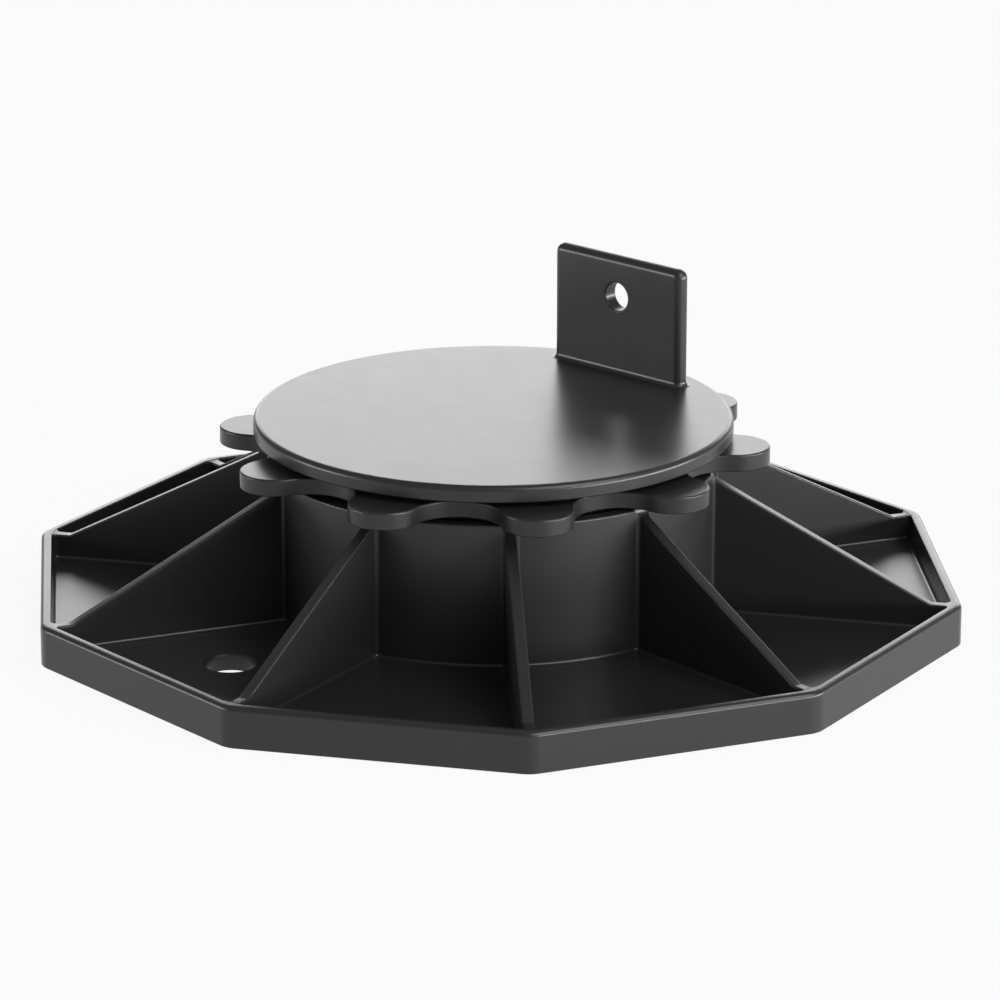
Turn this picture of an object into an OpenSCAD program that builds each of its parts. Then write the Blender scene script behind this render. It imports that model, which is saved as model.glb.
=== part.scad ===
/* [Base plate] */
// Width of the ten-sided base across its corners
base_d = 200; // [180:1:240]
// Rounding of the upright corners
corner_r = 6; // [2:0.5:10]
// Height of the rim above the ground
rim_h = 8.7; // [7:0.1:12]
// Wall of the rim at its top
rim_wall = 2.2; // [1.6:0.1:4]
// Extra wall at the rim's foot, from the lean of its inner face
rim_lean = 0.4; // [0:0.1:1]
// Rounding along the rim's outer top edge
rim_edge_r = 1.1; // [0.4:0.1:1.5]
// Thickness of the floor
floor_t = 3.4; // [2:0.1:5]
// Diameter of the two fixing holes
fixing_d = 10.5; // [5:0.5:14]
// Pitch circle of the fixing holes
fixing_pcd = 140; // [124:1:160]

/* [Ribs and tube] */
// Thickness of each rib
rib_t = 2.4; // [1.6:0.1:4]
// Flat stretch of each rib behind the rim's corner
rib_land = 6.6; // [3:0.1:12]
// Step from the rim's top down to that flat stretch
rib_step = 0.2; // [0.1:0.1:1]
// Height of a rib where it meets the tube
rib_top = 32.3; // [20:0.1:33]
// Outer diameter of the tube
tube_d = 94.4; // [93.4:0.1:98]
// Height of the tube's top edge
tube_top = 33.6; // [32.5:0.1:40]

/* [Thread] */
// Rise of the adjusting ring in one turn
thread_pitch = 4; // [3:0.5:6]
// Depth of the thread
thread_depth = 1.2; // [0.6:0.1:1.5]
// Play between the two threads, on the radius
thread_play = 0.45; // [0.3:0.05:0.6]
// Diameter over the crests of the ring's thread
thread_d = 87.8; // [86:0.1:88.4]

/* [Adjusting ring] */
// Number of finger lobes
lobe_count = 10; // [8:1:12]
// Radius from the axis to the middle of a lobe
lobe_at_r = 50.7; // [49:0.1:54]
// Rounding of a lobe's tip
lobe_r = 7.35; // [6:0.05:8]
// Radius from the axis to the bottom of a scallop
waist_r = 44.9; // [44.7:0.1:46]
// Thickness of the flange
flange_t = 3.6; // [2.5:0.1:5]
// Gap between the tube and the flange as shown
flange_gap = 0.8; // [0.2:0.1:18]
// Length of the threaded sleeve below the flange
sleeve_len = 30; // [24:0.5:31]
// Wall of the sleeve under its thread
sleeve_wall = 2.5; // [2:0.1:4]
// Diameter of the hole that the head's hooks snap through
lip_d = 73; // [60:0.5:75]
// Height of the raised track that carries the head
track_h = 1.1; // [0.8:0.1:3]
// Width of that track
track_w = 4; // [2:0.5:5]
// Angle of the first lobe as shown
ring_angle = -12; // [-180:1:180]

/* [Head plate] */
// Diameter of the head plate
head_d = 100.4; // [98:0.1:110]
// Thickness of the head plate
head_t = 3.45; // [2.5:0.05:6]
// Rounding of its top edge
head_edge_r = 1.2; // [0.4:0.1:1.5]
// Play between the head and the ring's track
track_play = 0.2; // [0.1:0.05:0.5]
// Angle of the tab as shown
head_angle = 44; // [-180:0.5:180]

/* [Tab] */
// Width of the tab
tab_w = 35.3; // [25:0.1:43]
// Height of the tab above the plate
tab_h = 25.6; // [22:0.1:40]
// Thickness of the tab
tab_t = 3.4; // [3.4:0.1:5]
// Distance from the axis to the tab's inner face
tab_at = 39.2; // [30:0.1:41]
// Rounding of the tab's edges
tab_edge_r = 1.6; // [0.5:0.1:1.6]
// Rounding of its two top corners
tab_corner_r = 2; // [1.8:0.1:6]
// Fillet around its foot
tab_foot_r = 1; // [0.5:0.1:2]
// Diameter of the screw hole
screw_d = 6.2; // [4:0.1:9]
// Height of the screw hole above the plate
screw_h = 16.8; // [10:0.1:18]

/* [Snap hooks] */
// Number of hooks under the head plate
hook_count = 6; // [4:1:8]
// Arc that each hook covers
hook_arc = 30; // [20:1:36]
// Thickness of a hook's wall
hook_t = 2.2; // [1.6:0.1:3]
// Play between the hooks and the hole in the ring
hook_play = 0.5; // [0.3:0.1:0.8]
// How far a hook's barb reaches under the ring
barb_reach = 1.4; // [0.8:0.1:2]
// Height of the barb
barb_h = 3; // [2:0.1:5]
// Gap between the barbs and the ring above them
barb_gap = 0.3; // [0.2:0.1:0.6]

/* [Hidden] */
$fn = 120;
black = [0.09, 0.09, 0.095];
side_count = 10;
side_step = 360 / side_count;
first_corner = -90;
apothem = base_d / 2 * cos(side_step / 2);
pocket_r = (apothem - rim_wall) / cos(side_step / 2);
pocket_lean = rim_lean / cos(side_step / 2);
corner_at = base_d / 2 - corner_r / cos(side_step / 2);
fixing_angle = -144;
tube_r = tube_d / 2;
crest_r = thread_d / 2;
core_r = crest_r - thread_depth;
tube_bore_r = crest_r + thread_play;
tube_crest_r = core_r + thread_play;
flange_z = tube_top + flange_gap;
flange_top = flange_z + flange_t;
sleeve_end = flange_z - sleeve_len;
sleeve_inner_r = core_r - sleeve_wall;
lip_r = lip_d / 2;
head_z = flange_top + track_h + track_play;
head_top = head_z + head_t;
hook_r = lip_r - hook_play;
barb_top = flange_z - barb_gap;
barb_end = barb_top - barb_h;
// Room that a piece is sunk into its neighbour in the same solid
sink = 0.5;
// Room that a cut runs past the solid
past = 1;
// Flats along a rounded edge, along the foot fillet and along one turn of a thread
edge_steps = 5;
foot_steps = 4;
thread_steps = 40;
// Depth that a scallop cuts past its tangent circle, so that its arc crosses the lobe's
arc_bite = 0.02;
// Half of a ridge's width at its root and at its crest
ridge_root = thread_pitch * 0.32;
ridge_crest = thread_pitch * 0.14;
// Plain length left beyond each end of a thread
thread_end = ridge_root + 0.5;
tube_thread_z = floor_t + thread_end;
tube_thread_len = tube_top - thread_end - tube_thread_z;
ring_thread_z = sleeve_end + thread_end;
ring_thread_len = sleeve_len - 2 * thread_end;
// Turn that sets the ring's ridge midway between the tube's ridges
ring_thread_angle = 360 * ((ring_thread_z - tube_thread_z) / thread_pitch - 0.5);

// Points of an arc about (x, y), from angle a to angle b
function arc(x, y, r, a, b, n) =
    [for (i = [0:n]) [x + r * cos(a + (b - a) * i / n), y + r * sin(a + (b - a) * i / n)]];

// Corner post of the base, rounded at its top edge
module corner_post() {
    rotate_extrude($fn = 60)
        polygon(concat(
            [[0, 0], [corner_r, 0]],
            arc(corner_r - rim_edge_r, rim_h - rim_edge_r, rim_edge_r, 0, 90, edge_steps),
            [[0, rim_h]]));
}

// Ten-sided tray: floor and rim
module tray() {
    difference() {
        hull()
            for (i = [0:side_count - 1])
                rotate(first_corner + i * side_step)
                    translate([corner_at, 0, 0])
                        corner_post();
        translate([0, 0, floor_t])
            rotate(first_corner)
                cylinder(
                    h = 2 * (rim_h - floor_t),
                    r1 = pocket_r - pocket_lean,
                    r2 = pocket_r + pocket_lean,
                    $fn = side_count);
    }
}

// Gusset from the tube down to a corner of the rim
module rib() {
    rim_in = pocket_r + sink;
    land_in = base_d / 2 - rib_land;
    land_z = rim_h - rib_step;
    rotate([90, 0, 0])
        linear_extrude(height = rib_t, center = true)
            polygon([
                [tube_r - sink, floor_t - sink],
                [rim_in, floor_t - sink],
                [rim_in, land_z],
                [land_in, land_z],
                [tube_r, rib_top],
                [tube_r - sink, rib_top]]);
}

// One point of a thread ridge: angle, radius, height
function on_helix(a, r, z) = [r * cos(a), r * sin(a), z + thread_pitch * a / 360];

// Ridge of a thread from its root out or in to its crest, running out at both ends
module thread_ridge(root_r, top_r, length) {
    steps = round(length / thread_pitch * thread_steps);
    outward = top_r > root_r;
    buried_r = outward ? root_r - sink : root_r + sink;
    end_r = (root_r + buried_r) / 2;
    run_out = thread_steps / 2;
    function reach(i) = min(1, i / run_out, (steps - i) / run_out);
    rows = [for (i = [0:steps])
        let (
            a = (i + 0.5) * 360 / thread_steps,
            r = end_r + (top_r - end_r) * reach(i),
            half = ridge_root + (ridge_crest - ridge_root) * reach(i))
        [
            on_helix(a, buried_r, -ridge_root),
            on_helix(a, r, -half),
            on_helix(a, r, half),
            on_helix(a, buried_r, ridge_root)
        ]];
    walls = [for (i = [0:steps - 1])
        for (j = [0:3])
            let (k = (j + 1) % 4)
            [4 * i + j, 4 * i + k, 4 * i + 4 + k, 4 * i + 4 + j]];
    first_end = [3, 2, 1, 0];
    last_end = [for (j = [0:3]) 4 * steps + j];
    faces = concat(walls, [first_end, last_end]);
    flipped = [for (face = faces) [for (k = [len(face) - 1:-1:0]) face[k]]];
    polyhedron([for (row = rows) each row], outward ? faces : flipped);
}

module base() {
    color(black) {
        difference() {
            union() {
                tray();
                cylinder(h = tube_top, r = tube_r);
                for (i = [0:side_count - 1])
                    rotate(first_corner + i * side_step)
                        rib();
            }
            translate([0, 0, -past])
                cylinder(h = tube_top + 2 * past, r = tube_bore_r);
            for (turn = [0, 180])
                rotate(fixing_angle + turn)
                    translate([fixing_pcd / 2, 0, -past])
                        cylinder(h = floor_t + 2 * past, d = fixing_d);
        }
        translate([0, 0, tube_thread_z])
            thread_ridge(tube_bore_r, tube_crest_r, tube_thread_len);
    }
}

// Outline of the lobed flange: round tips that run over into round scallops
module lobed_outline() {
    half = 180 / lobe_count;
    scallop_r = (lobe_r ^ 2 - lobe_at_r ^ 2 - waist_r ^ 2 + 2 * lobe_at_r * waist_r * cos(half))
        / (2 * (waist_r - lobe_at_r * cos(half) - lobe_r));
    scallop_at = waist_r + scallop_r;
    across = [scallop_at * cos(half) - lobe_at_r, scallop_at * sin(half)];
    meet = [lobe_at_r, 0] + across * lobe_r / (lobe_r + scallop_r);
    meet_r = norm(meet);
    meet_angle = atan2(meet[1], meet[0]);
    difference() {
        union() {
            polygon([for (i = [0:lobe_count - 1])
                for (side = [-1, 1])
                    let (a = 2 * i * half + side * meet_angle)
                    [meet_r * cos(a), meet_r * sin(a)]]);
            for (i = [0:lobe_count - 1])
                rotate(2 * i * half)
                    translate([lobe_at_r, 0])
                        circle(r = lobe_r);
        }
        for (i = [0:lobe_count - 1])
            rotate((2 * i + 1) * half)
                translate([scallop_at, 0])
                    circle(r = scallop_r + arc_bite);
    }
}

module adjusting_ring() {
    color(black) {
        rotate(ring_thread_angle) {
            difference() {
                union() {
                    translate([0, 0, flange_z])
                        linear_extrude(height = flange_t)
                            rotate(ring_angle - ring_thread_angle)
                                lobed_outline();
                    translate([0, 0, sleeve_end])
                        cylinder(h = sleeve_len + sink, r = core_r);
                    translate([0, 0, flange_top - sink])
                        cylinder(h = track_h + sink, r = lip_r + track_w);
                }
                translate([0, 0, sleeve_end - past])
                    cylinder(h = sleeve_len + past, r = sleeve_inner_r);
                translate([0, 0, flange_z - past])
                    cylinder(h = flange_t + track_h + 2 * past, r = lip_r);
            }
            translate([0, 0, ring_thread_z])
                thread_ridge(core_r, crest_r, ring_thread_len);
        }
    }
}

// Four upright edges of the tab, grown by a margin all round
module tab_edges(z, h, grow) {
    for (x = [-1, 1])
        for (y = [-1, 1])
            translate([x * (tab_t / 2 - tab_edge_r), y * (tab_w / 2 - tab_edge_r), z])
                cylinder(h = h, r = tab_edge_r + grow, $fn = 32);
}

// Disc as thick as the tab, with rounded edges, for one of its top corners
module tab_corner() {
    flat_r = tab_corner_r - tab_edge_r;
    side = tab_t / 2 - tab_edge_r;
    rotate([0, 90, 0])
        rotate_extrude($fn = 48)
            polygon(concat(
                [[0, -tab_t / 2]],
                arc(flat_r, -side, tab_edge_r, -90, 0, edge_steps),
                arc(flat_r, side, tab_edge_r, 0, 90, edge_steps),
                [[0, tab_t / 2]]));
}

// Hollow fillet around the foot of the tab
module tab_foot() {
    slice = 0.01;
    profile = arc(tab_foot_r, tab_foot_r, tab_foot_r, 270, 180, foot_steps);
    for (i = [0:foot_steps - 1])
        hull() {
            tab_edges(profile[i][1] - (i == 0 ? sink : 0), slice, profile[i][0]);
            tab_edges(profile[i][1], slice, profile[i][0]);
            tab_edges(profile[i + 1][1], slice, profile[i + 1][0]);
        }
}

module tab() {
    hull() {
        tab_edges(-sink, sink, 0);
        for (side = [-1, 1])
            translate([0, side * (tab_w / 2 - tab_corner_r), tab_h - tab_corner_r])
                tab_corner();
    }
    tab_foot();
}

module head_plate() {
    color(black) {
        rotate(head_angle) {
            difference() {
                union() {
                    translate([0, 0, head_z])
                        rotate_extrude()
                            polygon(concat(
                                [[0, 0], [head_d / 2, 0]],
                                arc(head_d / 2 - head_edge_r, head_t - head_edge_r, head_edge_r, 0, 90, edge_steps),
                                [[0, head_t]]));
                    translate([tab_at + tab_t / 2, 0, head_top])
                        tab();
                }
                translate([tab_at - past, 0, head_top + screw_h])
                    rotate([0, 90, 0])
                        cylinder(h = tab_t + 2 * past, d = screw_d);
            }
            for (i = [0:hook_count - 1])
                rotate(i * 360 / hook_count)
                    hook();
        }
    }
}

// Snap hook: an upright wall with a barb at its lower end
module hook() {
    rotate(-hook_arc / 2)
        rotate_extrude(angle = hook_arc)
            polygon([
                [hook_r - hook_t, head_z + sink],
                [hook_r - hook_t, barb_end],
                [hook_r, barb_end],
                [hook_r + barb_reach, barb_top - barb_h / 3],
                [hook_r + barb_reach, barb_top],
                [hook_r, barb_top],
                [hook_r, head_z + sink]]);
}

base();
adjusting_ring();
head_plate();
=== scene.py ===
import math

import bmesh
import bpy
from mathutils import Matrix, Vector


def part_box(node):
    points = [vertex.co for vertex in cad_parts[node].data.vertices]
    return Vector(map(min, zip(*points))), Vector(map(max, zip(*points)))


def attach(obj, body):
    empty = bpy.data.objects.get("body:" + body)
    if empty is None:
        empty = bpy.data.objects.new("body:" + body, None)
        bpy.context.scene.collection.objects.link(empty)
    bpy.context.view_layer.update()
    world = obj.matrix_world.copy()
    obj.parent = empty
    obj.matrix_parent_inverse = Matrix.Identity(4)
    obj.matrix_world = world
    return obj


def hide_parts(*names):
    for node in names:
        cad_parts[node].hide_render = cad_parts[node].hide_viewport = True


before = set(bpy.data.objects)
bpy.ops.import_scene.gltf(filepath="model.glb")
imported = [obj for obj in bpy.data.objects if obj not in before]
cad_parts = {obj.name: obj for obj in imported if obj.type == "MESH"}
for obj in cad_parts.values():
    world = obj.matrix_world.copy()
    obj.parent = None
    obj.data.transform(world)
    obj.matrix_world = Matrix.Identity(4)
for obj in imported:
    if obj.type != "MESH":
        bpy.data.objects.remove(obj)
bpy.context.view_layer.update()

# Sizes in millimetres, with the names and values of the part's source.
MM = 0.001
BASE_D = 200.0
CORNER_R = 6.0
RIM_H = 8.7
RIM_WALL = 2.2
RIM_LEAN = 0.4
RIM_EDGE_R = 1.1
FLOOR_T = 3.4
FIXING_D = 10.5
FIXING_PCD = 140.0
RIB_T = 2.4
RIB_LAND = 6.6
RIB_STEP = 0.2
RIB_TOP = 32.3
TUBE_D = 94.4
THREAD_PITCH = 4.0
THREAD_DEPTH = 1.2
THREAD_PLAY = 0.45
THREAD_D = 87.8
LOBE_COUNT = 10
LOBE_AT_R = 50.7
LOBE_R = 7.35
WAIST_R = 44.9
FLANGE_T = 3.6
FLANGE_GAP = 0.8
SLEEVE_LEN = 30.0
SLEEVE_WALL = 2.5
LIP_D = 73.0
TRACK_H = 1.1
TRACK_W = 4.0
TRACK_PLAY = 0.2
RING_ANGLE = -12.0
HEAD_D = 100.4
HEAD_T = 3.45
HEAD_EDGE_R = 1.2
HEAD_ANGLE = 44.0
TAB_W = 35.3
TAB_T = 3.4
TAB_AT = 39.2
TAB_EDGE_R = 1.6
TAB_CORNER_R = 2.0
TAB_FOOT_R = 1.0
SCREW_D = 6.2
SCREW_H = 16.8
HOOK_COUNT = 6
HOOK_ARC = 30.0
HOOK_T = 2.2
HOOK_PLAY = 0.5
BARB_REACH = 1.4
BARB_H = 3.0
BARB_GAP = 0.3

# Small roundings that a mould leaves, modelled only here.
POCKET_CORNER_R = 0.9
POCKET_FLOOR_R = 0.7
WALL_EDGE_R = 0.4
LOBE_EDGE_R = 0.4
LOBE_FOOT_R = 0.2
SMALL_EDGE_R = 0.3
FOOT_EDGE_R = 0.15

# How deep the tab and the hooks reach into the head's plate.
TAB_SUNK = 0.4
HOOK_SUNK = 0.5

# Heights that follow from the frame and from each other.
TUBE_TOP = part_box("base")[1].z / MM
TAB_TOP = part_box("head_plate")[1].z / MM
FLANGE_Z = TUBE_TOP + FLANGE_GAP
FLANGE_TOP = FLANGE_Z + FLANGE_T
SLEEVE_END = FLANGE_Z - SLEEVE_LEN
HEAD_Z = FLANGE_TOP + TRACK_H + TRACK_PLAY
HEAD_TOP = HEAD_Z + HEAD_T
BARB_TOP = FLANGE_Z - BARB_GAP
BARB_END = BARB_TOP - BARB_H

# The ten-sided foot, with angles in degrees.
SIDES = 10
STEP = 360 / SIDES
HALF = STEP / 2
FIRST_CORNER = -90.0
FIXING_ANGLE = -144.0
APOTHEM = BASE_D / 2 * math.cos(math.radians(HALF))
LAND_IN = BASE_D / 2 - RIB_LAND
LAND_Z = RIM_H - RIB_STEP
TUBE_R = TUBE_D / 2

# The thread: half-widths of its ridge, the turns in which it fades out, and where it runs in
# the tube and on the ring. The ring's ridge lies midway between two turns of the tube's.
CREST_R = THREAD_D / 2
CORE_R = CREST_R - THREAD_DEPTH
BORE_R = CREST_R + THREAD_PLAY
RIDGE_ROOT = THREAD_PITCH * 0.32
RIDGE_CREST = THREAD_PITCH * 0.14
ROUNDED_ROOT = RIDGE_ROOT * 0.83
FADE_TURNS = 0.5
MIDWAY_TURNS = 0.5
THREAD_MARGIN = 0.5
THREAD_END = RIDGE_ROOT + THREAD_MARGIN
TUBE_THREAD_Z = FLOOR_T + THREAD_END
TUBE_THREAD_LEN = TUBE_TOP - THREAD_END - TUBE_THREAD_Z
RING_THREAD_Z = SLEEVE_END + THREAD_END
RING_THREAD_LEN = SLEEVE_LEN - 2 * THREAD_END
RING_THREAD_ANGLE = 360 * ((RING_THREAD_Z - TUBE_THREAD_Z) / THREAD_PITCH - MIDWAY_TURNS)
NO_ZERO = 1e-6

# How many facets a line or a rounding has. The thread's are those in one pitch.
FACETS_THREAD = 16
FACETS_ROUND = 240
FACETS_EDGE = 5
FACETS_TAB_EDGE = 6
FACETS_HEAD_EDGE = 7
FACETS_TRAY_CORNER = 8
FACETS_RIM = 10
FACETS_RIM_CORNER = 6
FACETS_LAND = 3
FACETS_RIB = 24
FACETS_TUBE_CORNER = 8
FACETS_TUBE = 12
FACETS_FIXING = 48
FACETS_LOBE = 22
FACETS_SCALLOP = 14
FACETS_TAB = 10
FACETS_TAB_FOOT = 8
FACETS_SCREW = 64
FACETS_HOOK = 16

# Cleaning and shading of the meshes: lengths in metres, an angle in degrees.
WELD = 2e-6
SLIVER = 1e-7
SHARP_ANGLE = 40
NORMAL_WEIGHT = 80

# Satin black plastic. Each noise has a scale and a detail.
TONE_DARK = (0.0165, 0.0165, 0.0168)
TONE_LIGHT = (0.018, 0.018, 0.0184)
ROUGH_LOW = 0.30
ROUGH_HIGH = 0.32
PLASTIC_IOR = 1.45
TONE_NOISE = (45, 3)
ROUGH_NOISE = (160, 4)
GRAIN_NOISE = (2600, 2)
NOISE_LOW = 0.3
NOISE_HIGH = 0.7
GRAIN_STRENGTH = 0.12
GRAIN_DEPTH = 0.02 * MM

# The ground, in metres: half its width, how far it lies below the foot, its colour, and the
# share of plain white in it for the camera and for reflections.
GROUND_HALF = 6.0
GROUND_DROP = 0.1 * MM
GROUND_TONE = 0.65
GROUND_WHITE = 0.92

# The light: an even dim room and soft panels, turned to one point. Each panel has a place, a
# width and a height in metres, and a radiance, where 1 shines as white paper does.
ROOM_LEVEL = 0.28
PANEL_TARGET = (0, 0, 0.03)
PANELS = (
    ("back_panel", (0.31, 2.18, 0.6), 2.2, 1.05, 3.6),
    ("right_panel", (1.70, -0.75, 0.13), 2.4, 0.24, 29.0),
    ("front_panel", (0.97, -1.08, 1.3), 1.3, 1.1, 5.2),
    ("left_panel", (-1.6, 0.0, 0.2), 0.9, 0.36, 10.0))

# The camera: lens and sensor in millimetres, place in metres, angles in degrees.
LENS = 200.38
SENSOR = 36
CLIP_START = 0.05
CLIP_END = 50
CAMERA_PLACE = (-0.081574, -1.107820, 0.387688)
CAMERA_AZIMUTH = -4.283
CAMERA_ELEVATION = 18.148
CAMERA_ROLL = 0.083


def polar(r, angle, z=None):
    """Point at a radius and an angle in degrees, flat or at a height."""
    a = math.radians(angle)
    flat = (r * math.cos(a), r * math.sin(a))
    return flat if z is None else flat + (z,)


def spread(a, b, count):
    """Values from a to b in equal steps."""
    return [a + (b - a) * i / count for i in range(count + 1)]


def arc(centre, r, a, b, count):
    """Flat points of an arc from angle a to angle b."""
    points = [polar(r, angle) for angle in spread(a, b, count)]
    return [(centre[0] + x, centre[1] + y) for x, y in points]


def circle(centre, r, count):
    """Flat points of a circle, once round."""
    return arc(centre, r, 0, 360, count)[:-1]


def quarter_round(r, count):
    """Steps round a quarter circle: what is still to go across, and what is done upward."""
    angles = [math.radians(a) for a in spread(0, 90, count)]
    return [(r * (1 - math.sin(a)), r * (1 - math.cos(a))) for a in angles]


def turned(points, angle):
    """Points turned about the Z axis by an angle in degrees."""
    c, s = math.cos(math.radians(angle)), math.sin(math.radians(angle))
    return [(c * x - s * y, s * x + c * y, z) for x, y, z in points]


def at_height(points, z):
    """Flat points, lifted to a height."""
    return [(x, y, z) for x, y in points]


class Shell:
    """Collects the points and faces of one piece, in millimetres."""

    def __init__(self):
        self.points = []
        self.faces = []

    def add(self, loop):
        """Takes in points and gives their numbers."""
        start = len(self.points)
        self.points.extend(loop)
        return range(start, start + len(loop))

    def skin(self, loops, closed=True):
        """Faces between each loop and the next, which has as many points."""
        rows = [self.add(loop) for loop in loops]
        for low, high in zip(rows, rows[1:]):
            count = len(low)
            for i in range(count if closed else count - 1):
                k = (i + 1) % count
                self.faces.append((low[i], low[k], high[k], high[i]))

    def fill(self, *loops):
        """Closes the flat area between an outer loop and the loops inside it."""
        flat = bmesh.new()
        edges = []
        for loop in loops:
            corners = [flat.verts.new(p) for p in loop]
            edges += [flat.edges.new(pair) for pair in zip(corners, corners[1:] + corners[:1])]
        bmesh.ops.triangle_fill(flat, use_beauty=True, edges=edges)
        flat.verts.index_update()
        added = self.add([tuple(v.co) for v in flat.verts])
        self.faces.extend(tuple(added[v.index] for v in f.verts) for f in flat.faces)
        flat.free()

    def turn_in(self, other, angle):
        """Takes in another shell, turned about the Z axis."""
        added = self.add(turned(other.points, angle))
        self.faces.extend(tuple(added[i] for i in face) for face in other.faces)

    def make(self, name, material):
        """Welded, smooth-shaded object of the shell, in metres."""
        mesh = bpy.data.meshes.new(name)
        mesh.from_pydata([tuple(v * MM for v in p) for p in self.points], [], self.faces)
        made = bmesh.new()
        made.from_mesh(mesh)
        bmesh.ops.remove_doubles(made, verts=made.verts, dist=WELD)
        bmesh.ops.dissolve_degenerate(made, edges=made.edges, dist=SLIVER)
        bmesh.ops.recalc_face_normals(made, faces=made.faces)
        made.to_mesh(mesh)
        made.free()
        mesh.shade_smooth()
        mesh.set_sharp_from_angle(angle=math.radians(SHARP_ANGLE))
        mesh.materials.append(material)
        piece = bpy.data.objects.new(name, mesh)
        bpy.context.scene.collection.objects.link(piece)
        weighted = piece.modifiers.new("even_shading", "WEIGHTED_NORMAL")
        weighted.keep_sharp = True
        weighted.weight = NORMAL_WEIGHT
        return piece


def ridge(angle, z, start_z, length):
    """Height of a thread's ridge above its root, from 0 to the thread's depth.

    The ridge has rounded flanks and fades out at both ends of the thread.
    """
    at = (z - start_z) / THREAD_PITCH - angle / 360
    turn = round(at)
    along = angle / 360 + turn
    off = abs(at - turn) * THREAD_PITCH
    from_end = min(along, length / THREAD_PITCH - along)
    reach = min(1, from_end / FADE_TURNS)
    if reach <= 0:
        return 0.0
    crest = ROUNDED_ROOT + (RIDGE_CREST - ROUNDED_ROOT) * reach
    rise = min(1, max(0, (ROUNDED_ROOT - off) / (ROUNDED_ROOT - crest + NO_ZERO)))
    return THREAD_DEPTH * reach * rise * rise * (3 - 2 * rise)


def thread_rows(radius, angles, low, high):
    """Open rows that climb with the thread and lie flat at its lower and upper end.

    The angles go once round. A function gives the radius at an angle and a height.
    """
    step = THREAD_PITCH / FACETS_THREAD
    rows = []
    for j in range(math.ceil((high - low + THREAD_PITCH) / step) + 1):
        climb = [low + j * step + THREAD_PITCH * ((a - angles[0]) / 360 - 1) for a in angles]
        heights = [min(high, max(low, z)) for z in climb]
        rows.append([polar(radius(a, z), a, z) for a, z in zip(angles, heights)])
    return rows


def rib_height(r):
    """Height of a rib's top at a distance from the axis."""
    share = max(0, (LAND_IN - r) / (LAND_IN - TUBE_R))
    return LAND_Z + (RIB_TOP - LAND_Z) * share


def pocket_side(lean):
    """Half of a pocket's wall, from the middle of the rim round to the middle of the tube.

    The rim stands inward by lean. Each entry is a point, the direction into the pocket, the
    wall's height there, and the wall that it is on.
    """
    along = polar(1, HALF)
    inward = polar(1, HALF - 90)
    rim_u = APOTHEM - RIM_WALL - lean
    off = RIB_T / 2 + POCKET_CORNER_R
    near = math.sqrt((TUBE_R + POCKET_CORNER_R) ** 2 - off ** 2)
    far = (rim_u - POCKET_CORNER_R - off * inward[0]) / along[0]

    def beside_rib(r, distance):
        return tuple(r * a + distance * n for a, n in zip(along, inward))

    def corner_entry(centre, angle, height, kind):
        x, y = polar(1, angle)
        point = (centre[0] + POCKET_CORNER_R * x, centre[1] + POCKET_CORNER_R * y)
        return point, (-x, -y), height, kind

    side = []
    rim_corner = beside_rib(far, off)
    for v in spread(0, rim_corner[1], FACETS_RIM)[:-1]:
        side.append(((rim_u, v), (-1, 0), RIM_H, "rim"))
    for i, angle in enumerate(spread(0, HALF + 90, FACETS_RIM_CORNER)):
        height = RIM_H + (rib_height(far) - RIM_H) * i / FACETS_RIM_CORNER
        side.append(corner_entry(rim_corner, angle, height, "rib" if i else "rim"))
    for r in spread(far, LAND_IN, FACETS_LAND)[1:] + spread(LAND_IN, near, FACETS_RIB)[1:-1]:
        side.append((beside_rib(r, RIB_T / 2), inward, rib_height(r), "rib"))
    tube_corner = beside_rib(near, off)
    toward_axis = math.degrees(math.atan2(tube_corner[1], tube_corner[0]))
    for i, angle in enumerate(spread(HALF + 90, 180 + toward_axis, FACETS_TUBE_CORNER)):
        share = 1 - math.cos(math.pi / 2 * i / FACETS_TUBE_CORNER)
        height = rib_height(near) + (TUBE_TOP - rib_height(near)) * share
        kind = "tube" if i == FACETS_TUBE_CORNER else "rib"
        side.append(corner_entry(tube_corner, angle, height, kind))
    for angle in spread(toward_axis, 0, FACETS_TUBE)[1:]:
        side.append((polar(TUBE_R, angle), polar(1, angle), TUBE_TOP, "tube"))
    return side


def pocket_wall(lean):
    """Whole wall of a pocket: the half and its mirror image, once round."""
    half = pocket_side(lean)
    mirrored = [((x, -y), (nx, -ny), h, kind) for (x, y), (nx, ny), h, kind in half]
    return half + mirrored[-2:0:-1]


def wall_line(wall, inset):
    """Flat line of a pocket's wall, moved into the pocket by inset."""
    return [(x + inset * nx, y + inset * ny) for (x, y), (nx, ny), h, kind in wall]


def tray_outline(inset, z):
    """Ten-sided outline of the base with rounded corners."""
    at = BASE_D / 2 - CORNER_R / math.cos(math.radians(HALF))
    points = []
    for k in range(SIDES):
        direction = FIRST_CORNER + k * STEP
        points += arc(polar(at, direction), CORNER_R - inset, direction - HALF, direction + HALF,
                      FACETS_TRAY_CORNER)
    return at_height(points, z)


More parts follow.
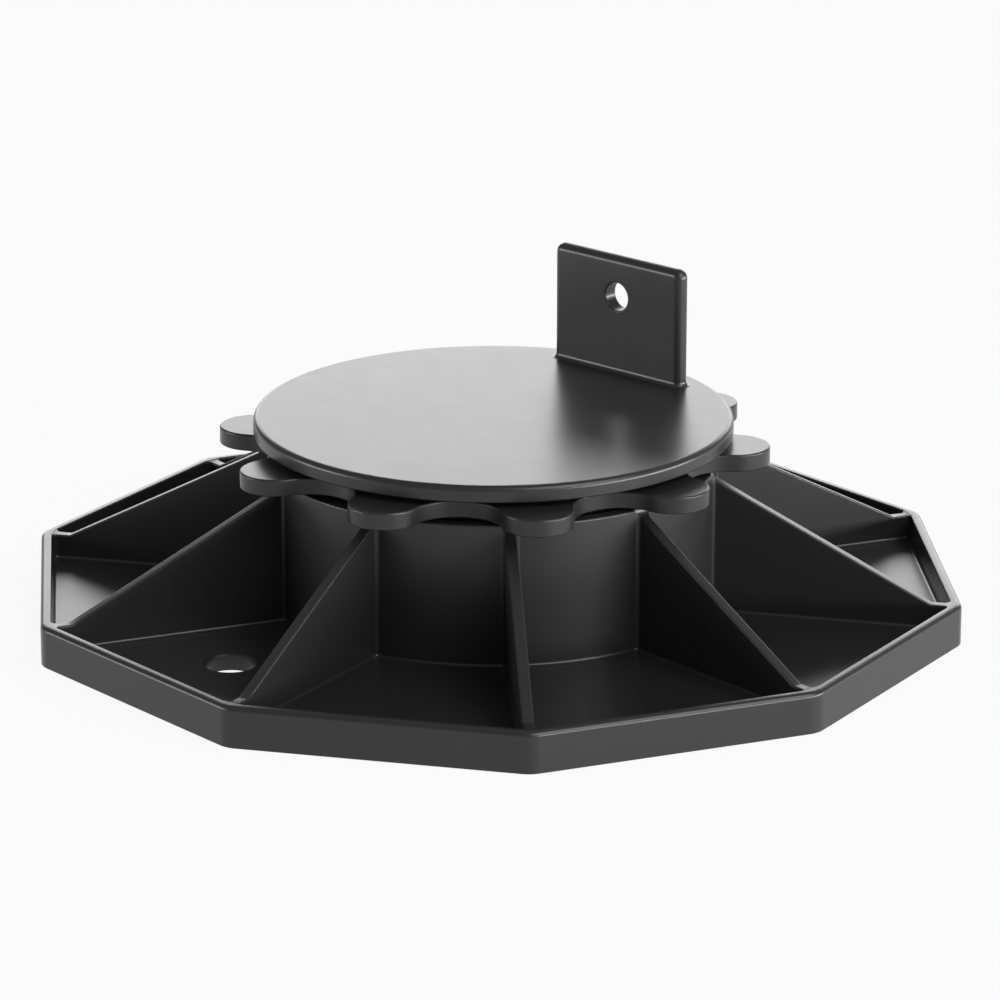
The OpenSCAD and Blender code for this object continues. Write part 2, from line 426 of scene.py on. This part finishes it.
def build_base():
    """Foot with its rim, pockets, ribs and fixing holes, and the tube with its inner thread."""
    shell = Shell()
    wall = pocket_wall(0)
    wall_foot = pocket_wall(RIM_LEAN)
    tops = [h for point, inward, h, kind in wall]
    kinds = [kind for point, inward, h, kind in wall]
    low = [at_height(wall_line(wall_foot, to_go), FLOOR_T + done)
           for to_go, done in quarter_round(POCKET_FLOOR_R, FACETS_EDGE)]
    high = [[(x, y, h - to_go) for (x, y), h in zip(wall_line(wall, -done), tops)]
            for to_go, done in quarter_round(WALL_EDGE_R, FACETS_EDGE)]
    hole_at = (FIXING_PCD / 2, 0)
    hole_line = circle(hole_at, FIXING_D / 2, FACETS_FIXING)
    hole_mouth = at_height(circle(hole_at, FIXING_D / 2 + SMALL_EDGE_R, FACETS_FIXING), FLOOR_T)
    plain = Shell()
    plain.skin(low + high)
    plain.fill(low[0])
    drilled = Shell()
    drilled.skin(low + high)
    drilled.fill(low[0], hole_mouth)
    drilled.skin([hole_mouth, at_height(hole_line, FLOOR_T - SMALL_EDGE_R), at_height(hole_line, 0)])

    # The pockets go round, and flat tops join them: on the ribs, the rim and the tube.
    hole_angles = (FIXING_ANGLE, FIXING_ANGLE + 180)
    count = len(wall)
    first = kinds.index("rib") - 1
    last = kinds.index("tube")
    rim_line, tube_line, rib_lines = [], [], []
    for k in range(SIDES):
        middle = FIRST_CORNER + HALF + k * STEP
        has_hole = any(abs((middle - a + 180) % 360 - 180) < HALF for a in hole_angles)
        shell.turn_in(drilled if has_hole else plain, middle)
        top = turned(high[-1], middle)
        rib_lines.append((top[first:last + 1], [top[-i % count] for i in range(first, last + 1)]))
        rim_line += [top[i % count] for i in range(-first, first + 1)]
        tube_line += [top[i] for i in range(count - last, last - 1, -1)]
    for k in range(SIDES):
        shell.skin([rib_lines[k][0], rib_lines[(k + 1) % SIDES][1]], closed=False)

    outer = [tray_outline(to_go, done) for to_go, done in quarter_round(FOOT_EDGE_R, FACETS_EDGE)]
    outer += [tray_outline(done, RIM_H - to_go)
              for to_go, done in quarter_round(RIM_EDGE_R, FACETS_EDGE)]
    shell.skin(outer)
    shell.fill(outer[-1], rim_line)
    around = spread(0, 360, FACETS_ROUND)
    bore = thread_rows(lambda a, z: BORE_R - ridge(a, z, TUBE_THREAD_Z, TUBE_THREAD_LEN),
                       around, 0, TUBE_TOP - SMALL_EDGE_R)
    bore.append([polar(BORE_R + SMALL_EDGE_R, a, TUBE_TOP) for a in around])
    shell.skin(bore, closed=False)
    shell.fill(tube_line, bore[-1][:-1])
    holes = [turned(at_height(hole_line, 0), a) for a in hole_angles]
    shell.fill(outer[0], bore[0][:-1], *holes)
    return shell


def lobed_line(inset):
    """Outline of the lobed flange, moved inward by inset."""
    half = 180 / LOBE_COUNT
    c = math.cos(math.radians(half))
    scallop_r = ((LOBE_R ** 2 - LOBE_AT_R ** 2 - WAIST_R ** 2 + 2 * LOBE_AT_R * WAIST_R * c)
                 / (2 * (WAIST_R - LOBE_AT_R * c - LOBE_R)))
    scallop_at = WAIST_R + scallop_r
    across = [a - b for a, b in zip(polar(scallop_at, half), (LOBE_AT_R, 0))]
    tip = math.degrees(math.atan2(across[1], across[0]))
    points = []
    for k in range(LOBE_COUNT):
        turn = RING_ANGLE + 2 * half * k
        points += arc(polar(LOBE_AT_R, turn), LOBE_R - inset, turn - tip, turn + tip,
                      FACETS_LOBE)[:-1]
        points += arc(polar(scallop_at, turn + half), scallop_r + inset,
                      turn + tip + 180, turn + 2 * half - tip + 180, FACETS_SCALLOP)[:-1]
    return points


def build_ring():
    """Lobed flange with its track and lip, and the sleeve with its outer thread."""
    shell = Shell()
    flange = [at_height(lobed_line(to_go), FLANGE_Z + done)
              for to_go, done in quarter_round(LOBE_FOOT_R, FACETS_EDGE)]
    flange += [at_height(lobed_line(done), FLANGE_TOP - to_go)
               for to_go, done in quarter_round(LOBE_EDGE_R, FACETS_EDGE)]
    flange = [loop + loop[:1] for loop in flange]
    compass = [math.degrees(math.atan2(y, x)) for x, y, z in flange[0][:-1]]
    bearings = [compass[0] + (a - compass[0]) % 360 for a in compass] + [compass[0] + 360]

    def ring_at(r, z):
        return [polar(r, a, z) for a in bearings]

    def sleeve_radius(a, z):
        from_start = (a - RING_THREAD_ANGLE) % 360
        return CORE_R + ridge(from_start, z, RING_THREAD_Z, RING_THREAD_LEN)

    lip = LIP_D / 2
    track = lip + TRACK_W
    track_top = FLANGE_TOP + TRACK_H
    inner = CORE_R - SLEEVE_WALL
    small = SMALL_EDGE_R
    loops = flange + [
        ring_at(track + small, FLANGE_TOP),
        ring_at(track, FLANGE_TOP + small),
        ring_at(track, track_top - small),
        ring_at(track - small, track_top),
        ring_at(lip + small, track_top),
        ring_at(lip, track_top - small),
        ring_at(lip, FLANGE_Z + small),
        ring_at(lip + small, FLANGE_Z),
        ring_at(inner - small, FLANGE_Z),
        ring_at(inner, FLANGE_Z - small),
        ring_at(inner, SLEEVE_END + small),
        ring_at(inner + small, SLEEVE_END),
        ring_at(CORE_R - small, SLEEVE_END)]
    loops += thread_rows(sleeve_radius, bearings, SLEEVE_END + small, FLANGE_Z - small)
    loops.append(ring_at(CORE_R + small, FLANGE_Z))
    loops.append(flange[0])
    shell.skin(loops, closed=False)
    return shell


def tab_outline(inset, x):
    """Upright outline of the tab in the plane at x, from its sunk foot up and over."""
    half = TAB_W / 2
    r = TAB_CORNER_R
    top = TAB_TOP - r
    foot = HEAD_TOP - TAB_SUNK
    right = [(half - inset, z) for z in spread(foot, top, FACETS_TAB)[:-1]]
    right += arc((half - r, top), r - inset, 0, 90, FACETS_TAB)
    over = [(y, TAB_TOP - inset) for y in spread(half - r, r - half, FACETS_TAB)[1:-1]]
    left = [(-y, z) for y, z in reversed(right)]
    under = [(y, foot) for y in spread(inset - half, half - inset, FACETS_TAB)[1:-1]]
    return [(x, y, z) for y, z in right + over + left + under]


def foot_outline(grow, z):
    """Rounded outline round the tab's foot."""
    r = TAB_EDGE_R
    points = []
    for k, (sx, sy) in enumerate(((1, 1), (-1, 1), (-1, -1), (1, -1))):
        centre = (sx * (TAB_T / 2 - r), sy * (TAB_W / 2 - r))
        points += arc(centre, r + grow, 90 * k, 90 * k + 90, FACETS_TAB_FOOT)
    return at_height(points, z)


def build_tab():
    """Tab at the angle 0, with its screw hole and the fillet round its foot."""
    shell = Shell()
    face = TAB_T / 2
    hole_at = (0, HEAD_TOP + SCREW_H)

    def hole(grow, x):
        return [(x, y, z) for y, z in circle(hole_at, SCREW_D / 2 + grow, FACETS_SCREW)]

    edge = quarter_round(TAB_EDGE_R, FACETS_TAB_EDGE)
    front = [tab_outline(to_go, -face + done) for to_go, done in edge]
    back = [tab_outline(done, face - to_go) for to_go, done in edge]
    shell.skin(front + back)
    small_edge = quarter_round(SMALL_EDGE_R, FACETS_TAB_EDGE)
    bore = [hole(to_go, -face + done) for to_go, done in small_edge]
    bore += [hole(done, face - to_go) for to_go, done in small_edge]
    shell.fill(front[0], bore[0])
    shell.fill(back[-1], bore[-1])
    shell.skin(bore)
    fillet = [foot_outline(TAB_FOOT_R, HEAD_TOP - TAB_SUNK)]
    fillet += [foot_outline(to_go, HEAD_TOP + done)
               for to_go, done in quarter_round(TAB_FOOT_R, FACETS_TAB_EDGE)]
    shell.skin(fillet)
    shell.fill(fillet[0])
    shell.fill(fillet[-1])
    shell.points = [(x + TAB_AT + face, y, z) for x, y, z in shell.points]
    return shell


def build_hook():
    """Snap hook at the angle 0: an upright wall with a barb at its lower end."""
    shell = Shell()
    outer = LIP_D / 2 - HOOK_PLAY
    inner = outer - HOOK_T
    barb = outer + BARB_REACH
    barb_face = BARB_H / 3
    root = HEAD_Z + HOOK_SUNK
    small = SMALL_EDGE_R
    profile = [(inner, root), (inner, BARB_END + small), (inner + small, BARB_END),
               (outer - small, BARB_END), (outer + small, BARB_END + small),
               (barb, BARB_TOP - barb_face), (barb, BARB_TOP - small), (barb - small, BARB_TOP),
               (outer, BARB_TOP), (outer, root)]
    angles = spread(-HOOK_ARC / 2, HOOK_ARC / 2, FACETS_HOOK)
    rows = [[polar(r, a, z) for r, z in profile] for a in angles]
    shell.skin(rows)
    shell.fill(rows[0])
    shell.fill(rows[-1])
    return shell


def build_head():
    """Round plate with its tab and the hooks underneath."""
    shell = Shell()

    def disc_line(inset, z):
        return at_height(circle((0, 0), HEAD_D / 2 - inset, FACETS_ROUND), z)

    rows = [disc_line(to_go, HEAD_Z + done)
            for to_go, done in quarter_round(SMALL_EDGE_R, FACETS_HEAD_EDGE)]
    rows += [disc_line(done, HEAD_TOP - to_go)
             for to_go, done in quarter_round(HEAD_EDGE_R, FACETS_HEAD_EDGE)]
    shell.skin(rows)
    shell.fill(rows[0])
    shell.fill(rows[-1])
    shell.turn_in(build_tab(), HEAD_ANGLE)
    hook = build_hook()
    for k in range(HOOK_COUNT):
        shell.turn_in(hook, HEAD_ANGLE + k * 360 / HOOK_COUNT)
    return shell


def moulded_plastic(name):
    """Satin black plastic: a fine moulded grain, a slightly uneven gloss and tone."""
    material = bpy.data.materials.new(name)
    material.use_nodes = True
    nodes, links = material.node_tree.nodes, material.node_tree.links
    shader = nodes["Principled BSDF"]
    shader.inputs["IOR"].default_value = PLASTIC_IOR
    place = nodes.new("ShaderNodeTexCoord")

    def noise(scale, detail):
        texture = nodes.new("ShaderNodeTexNoise")
        texture.inputs["Scale"].default_value = scale
        texture.inputs["Detail"].default_value = detail
        links.new(place.outputs["Object"], texture.inputs["Vector"])
        return texture.outputs["Fac"]

    def mapped(value, low, high):
        ramp = nodes.new("ShaderNodeMapRange")
        ramp.inputs["From Min"].default_value = NOISE_LOW
        ramp.inputs["From Max"].default_value = NOISE_HIGH
        ramp.inputs["To Min"].default_value = low
        ramp.inputs["To Max"].default_value = high
        links.new(value, ramp.inputs["Value"])
        return ramp.outputs["Result"]

    tone = nodes.new("ShaderNodeMix")
    tone.data_type = "RGBA"
    tone.inputs["A"].default_value = (*TONE_DARK, 1)
    tone.inputs["B"].default_value = (*TONE_LIGHT, 1)
    links.new(mapped(noise(*TONE_NOISE), 0, 1), tone.inputs["Factor"])
    links.new(tone.outputs["Result"], shader.inputs["Base Color"])
    links.new(mapped(noise(*ROUGH_NOISE), ROUGH_LOW, ROUGH_HIGH), shader.inputs["Roughness"])
    bump = nodes.new("ShaderNodeBump")
    bump.inputs["Strength"].default_value = GRAIN_STRENGTH
    bump.inputs["Distance"].default_value = GRAIN_DEPTH
    links.new(noise(*GRAIN_NOISE), bump.inputs["Height"])
    links.new(bump.outputs["Normal"], shader.inputs["Normal"])
    return material


def plain_floor():
    """Pale floor, which looks nearly white and keeps a soft shadow."""
    mesh = bpy.data.meshes.new("floor")
    corners = [(x * GROUND_HALF, y * GROUND_HALF, 0) for x, y in ((-1, -1), (1, -1), (1, 1), (-1, 1))]
    mesh.from_pydata(corners, [], [(0, 1, 2, 3)])
    floor = bpy.data.objects.new("floor", mesh)
    floor.location.z = -GROUND_DROP
    bpy.context.scene.collection.objects.link(floor)
    material = bpy.data.materials.new("pale_floor")
    material.use_nodes = True
    nodes, links = material.node_tree.nodes, material.node_tree.links
    nodes.clear()

    def larger(one, other):
        node = nodes.new("ShaderNodeMath")
        node.operation = "MAXIMUM"
        links.new(one, node.inputs[0])
        links.new(other, node.inputs[1])
        return node.outputs[0]

    matt = nodes.new("ShaderNodeBsdfDiffuse")
    matt.inputs["Color"].default_value = (GROUND_TONE, GROUND_TONE, GROUND_TONE, 1)
    glow = nodes.new("ShaderNodeEmission")
    glow.inputs["Color"].default_value = (1, 1, 1, 1)
    glow.inputs["Strength"].default_value = 1
    rays = nodes.new("ShaderNodeLightPath")
    seen = larger(rays.outputs["Is Camera Ray"], rays.outputs["Is Glossy Ray"])
    seen = larger(seen, rays.outputs["Is Transmission Ray"])
    share = nodes.new("ShaderNodeMath")
    share.operation = "MULTIPLY"
    share.inputs[1].default_value = GROUND_WHITE
    links.new(seen, share.inputs[0])
    mix = nodes.new("ShaderNodeMixShader")
    links.new(share.outputs[0], mix.inputs["Fac"])
    links.new(matt.outputs[0], mix.inputs[1])
    links.new(glow.outputs[0], mix.inputs[2])
    output = nodes.new("ShaderNodeOutputMaterial")
    links.new(mix.outputs[0], output.inputs["Surface"])
    mesh.materials.append(material)


def soft_light(name, place, width, height, radiance):
    """Large soft panel at a place, turned to the object and hidden from the camera."""
    lamp = bpy.data.lights.new(name, "AREA")
    lamp.shape = "RECTANGLE"
    lamp.size = width
    lamp.size_y = height
    lamp.energy = radiance * math.pi * width * height
    panel = bpy.data.objects.new(name, lamp)
    panel.location = place
    away = Vector(place) - Vector(PANEL_TARGET)
    panel.rotation_euler = away.to_track_quat("Z", "Y").to_euler()
    panel.visible_camera = False
    bpy.context.scene.collection.objects.link(panel)


def light_room():
    """Even dim room, in which the panels stand."""
    world = bpy.data.worlds.new("room")
    bpy.context.scene.world = world
    world.use_nodes = True
    background = world.node_tree.nodes["Background"]
    background.inputs["Color"].default_value = (1, 1, 1, 1)
    background.inputs["Strength"].default_value = ROOM_LEVEL
    for panel in PANELS:
        soft_light(*panel)


def set_camera():
    """Long lens at the photograph's place and angle."""
    data = bpy.data.cameras.new("camera")
    data.sensor_width = SENSOR
    data.lens = LENS
    data.clip_start = CLIP_START
    data.clip_end = CLIP_END
    camera = bpy.data.objects.new("camera", data)
    place = Matrix.Translation(CAMERA_PLACE)
    for angle, axis in ((CAMERA_AZIMUTH, "Z"), (90 - CAMERA_ELEVATION, "X"), (CAMERA_ROLL, "Z")):
        place = place @ Matrix.Rotation(math.radians(angle), 4, axis)
    camera.matrix_world = place
    bpy.context.scene.collection.objects.link(camera)
    bpy.context.scene.camera = camera


PIECES = (
    ("base_moulding", build_base, "base", "foot"),
    ("ring_moulding", build_ring, "adjusting_ring", "ring"),
    ("head_moulding", build_head, "head_plate", "head"))

bpy.context.scene.view_settings.view_transform = "Standard"
set_camera()
plain_floor()
light_room()
plastic = moulded_plastic("satin_black")
for name, build, node, body in PIECES:
    piece = build().make(name, plastic)
    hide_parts(node)
    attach(piece, body)
